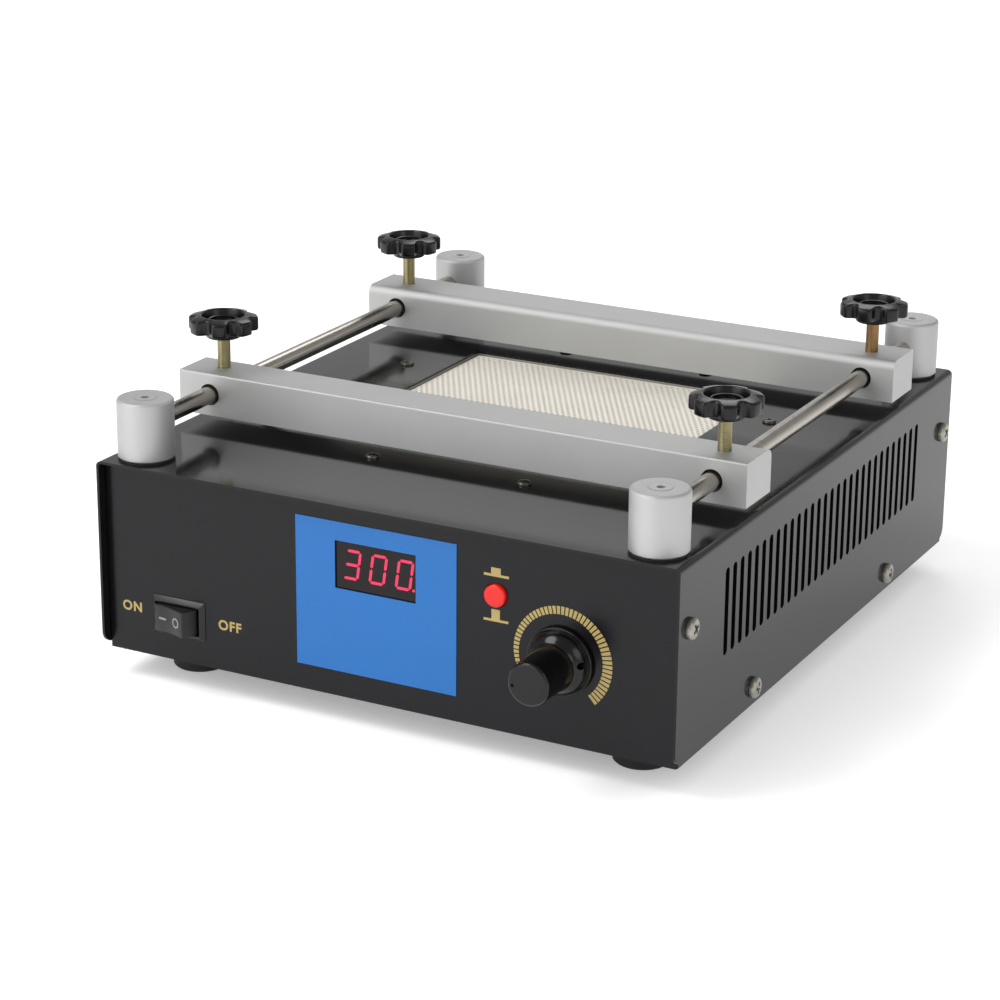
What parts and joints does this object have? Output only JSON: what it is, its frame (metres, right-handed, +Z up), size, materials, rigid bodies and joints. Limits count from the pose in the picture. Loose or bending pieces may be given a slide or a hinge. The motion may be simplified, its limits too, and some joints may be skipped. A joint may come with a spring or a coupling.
{
  "type": "circuit board preheater",
  "caption": "Bench preheater with a meshed heater window under two sliding clamp bars on guide rods, star-knob locks, a display and a temperature dial on its sheet-metal front.",
  "frame": {"origin": "bottom centre of the whole part, in the plane its feet stand on", "axes": "+X to the right as seen from the front, +Y from the control panel to the back, +Z up"},
  "size_m": [0.2856, 0.3514, 0.1509],
  "materials": {
    "dark_paint": "semi-gloss powder paint",
    "panel_paint": "satin printed panel",
    "blue_film": "printed polyester film",
    "display_plastic": "red-tinted display face",
    "board_laminate": "solder-masked laminate",
    "zinc_steel": "bright zinc plate",
    "dark_steel": "blackened",
    "rod_steel": "ground",
    "tub_steel": "rolled",
    "transformer_iron": "varnished laminations",
    "black_plastic": "moulded",
    "red_plastic": "moulded",
    "aluminium": "turned and milled",
    "cream_enamel": "baked enamel",
    "quartz": "milky quartz",
    "ceramic": "unglazed",
    "fibre_mat": "pressed ceramic fibre",
    "black_rubber": "moulded",
    "yellow_zinc": "yellow passivated thread",
    "pad_brass": "turned"
  },
  "bodies": {
    "housing": {"chassis_tray": "dark_paint", "top_cover": "dark_paint", "front_fascia": "panel_paint", "display_label": "blue_film", "led_display": "display_plastic", "display_board": "board_laminate", "display_standoffs": "zinc_steel", "rocker_housing": "black_plastic", "push_switch": "black_plastic", "potentiometer": "zinc_steel", "potentiometer_nut": "zinc_steel", "heater_screen": "cream_enamel", "heater_tub": "tub_steel", "quartz_tubes": "quartz", "tube_holders": "ceramic", "insulating_mat": "fibre_mat", "thermocouple": "zinc_steel", "control_board": "board_laminate", "board_standoffs": "zinc_steel", "transformer": "transformer_iron", "heat_sink": "aluminium", "terminal_block": "ceramic", "power_inlet": "black_plastic", "fuse_holder": "black_plastic", "guide_posts": "aluminium", "post_washers": "black_rubber", "post_bolts": "zinc_steel", "rod_set_screws": "dark_steel", "guide_rod_left": "rod_steel", "guide_rod_right": "rod_steel", "rubber_feet": "black_rubber", "foot_screws": "zinc_steel", "side_screws": "zinc_steel", "top_screws": "zinc_steel"},
    "front_bar": {"front_bar": "aluminium", "front_bar_bushes": "black_plastic"},
    "rear_bar": {"rear_bar": "aluminium", "rear_bar_bushes": "black_plastic"},
    "rocker": {"rocker": "black_plastic"},
    "button": {"button_cap": "red_plastic"},
    "dial": {"potentiometer_shaft": "aluminium", "temperature_knob": "black_plastic", "knob_set_screw": "zinc_steel"},
    "pad_front_left": {"clamp_pad_front_left": "pad_brass"},
    "screw_front_left": {"clamp_stud_front_left": "yellow_zinc", "star_knob_front_left": "black_plastic"},
    "pad_front_right": {"clamp_pad_front_right": "pad_brass"},
    "screw_front_right": {"clamp_stud_front_right": "yellow_zinc", "star_knob_front_right": "black_plastic"},
    "pad_rear_left": {"clamp_pad_rear_left": "pad_brass"},
    "screw_rear_left": {"clamp_stud_rear_left": "yellow_zinc", "star_knob_rear_left": "black_plastic"},
    "pad_rear_right": {"clamp_pad_rear_right": "pad_brass"},
    "screw_rear_right": {"clamp_stud_rear_right": "yellow_zinc", "star_knob_rear_right": "black_plastic"}
  },
  "joints": [
    {"name": "front_bar_slide", "type": "slide", "parent": "housing", "child": "front_bar", "axis": [0, 1, 0], "range_m": [-0.0372, 0.063]},
    {"name": "rear_bar_slide", "type": "slide", "parent": "housing", "child": "rear_bar", "axis": [0, 1, 0], "range_m": [-0.072, 0.0278]},
    {"name": "rocker_tip", "type": "hinge", "parent": "housing", "child": "rocker", "pos_m": [-0.1018, -0.14475, 0.0332], "axis": [0, 0, 1], "range_deg": [0, 28]},
    {"name": "button_press", "type": "slide", "parent": "housing", "child": "button", "axis": [0, 1, 0], "range_m": [0, 0.0015], "stiffness_N_per_m": 600},
    {"name": "dial_turn", "type": "hinge", "parent": "housing", "child": "dial", "pos_m": [0.0856, -0.14555, 0.05], "axis": [0, -1, 0], "range_deg": [-237, 7]},
    {"name": "pad_front_left_lift", "type": "slide", "parent": "front_bar", "child": "pad_front_left", "axis": [0, 0, 1], "range_m": [0, 0.006]},
    {"name": "screw_front_left_turn", "type": "hinge", "parent": "pad_front_left", "child": "screw_front_left", "pos_m": [-0.1235, -0.07205, 0.13], "axis": [0, 0, 1], "range_deg": [0, 2161]},
    {"name": "pad_front_right_lift", "type": "slide", "parent": "front_bar", "child": "pad_front_right", "axis": [0, 0, 1], "range_m": [0, 0.006]},
    {"name": "screw_front_right_turn", "type": "hinge", "parent": "pad_front_right", "child": "screw_front_right", "pos_m": [0.1235, -0.07205, 0.13], "axis": [0, 0, 1], "range_deg": [0, 2161]},
    {"name": "pad_rear_left_lift", "type": "slide", "parent": "rear_bar", "child": "pad_rear_left", "axis": [0, 0, 1], "range_m": [0, 0.006]},
    {"name": "screw_rear_left_turn", "type": "hinge", "parent": "pad_rear_left", "child": "screw_rear_left", "pos_m": [-0.1235, 0.09765, 0.13], "axis": [0, 0, 1], "range_deg": [0, 2161]},
    {"name": "pad_rear_right_lift", "type": "slide", "parent": "rear_bar", "child": "pad_rear_right", "axis": [0, 0, 1], "range_m": [0, 0.006]},
    {"name": "screw_rear_right_turn", "type": "hinge", "parent": "pad_rear_right", "child": "screw_rear_right", "pos_m": [0.1235, 0.09765, 0.13], "axis": [0, 0, 1], "range_deg": [0, 2161]}
  ],
  "couplings": [
    {"joint": "screw_front_left_turn", "follows": "pad_front_left_lift", "rad_per_m": 6283.2},
    {"joint": "screw_front_right_turn", "follows": "pad_front_right_lift", "rad_per_m": 6283.2},
    {"joint": "screw_rear_left_turn", "follows": "pad_rear_left_lift", "rad_per_m": 6283.2},
    {"joint": "screw_rear_right_turn", "follows": "pad_rear_right_lift", "rad_per_m": 6283.2}
  ]
}
